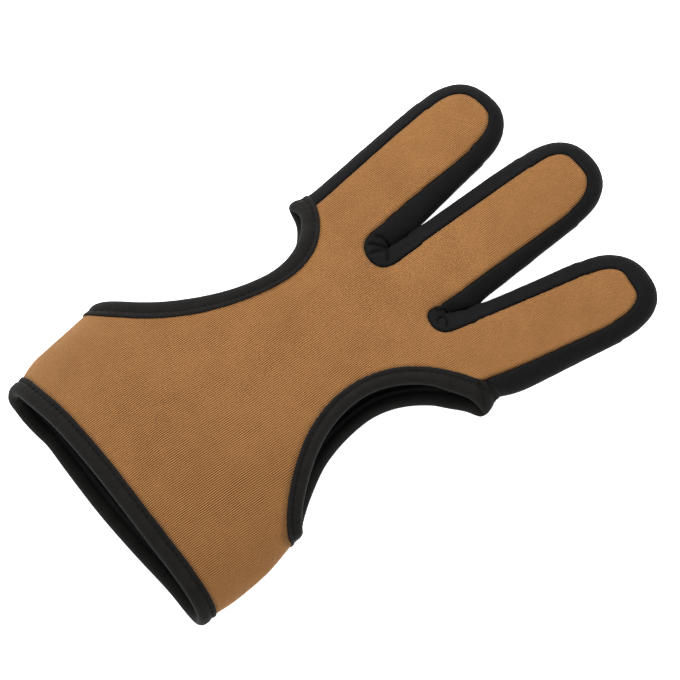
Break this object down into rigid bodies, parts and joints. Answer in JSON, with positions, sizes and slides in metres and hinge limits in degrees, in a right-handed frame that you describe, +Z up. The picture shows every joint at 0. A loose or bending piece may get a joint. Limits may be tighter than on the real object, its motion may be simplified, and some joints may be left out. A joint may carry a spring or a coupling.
{
  "type": "archery glove",
  "caption": "Archery glove of brown laminated neoprene with a black strip round its closed fingers and black bound wrist, thumb and little-finger openings, lying palm down.",
  "frame": {"origin": "on the flat outside of the palm, which rests on the surface, near the middle of the hand", "axes": "+X towards the fingertips, +Y towards the little-finger cut-out, +Z up through the back of the hand"},
  "size_m": [0.2189, 0.1259, 0.0315],
  "materials": {
    "brown_neoprene": "matt ribbed jersey face on foam, black inside",
    "black_strip": "soft stretch knit",
    "black_binding": "folded knit tape with one row of stitches"
  },
  "bodies": {
    "root": {"back_panel": "brown_neoprene", "palm_panel": "brown_neoprene", "finger_sidewall": "black_strip", "wrist_binding": "black_binding", "thumb_binding": "black_binding", "little_finger_binding": "black_binding"}
  },
  "joints": []
}
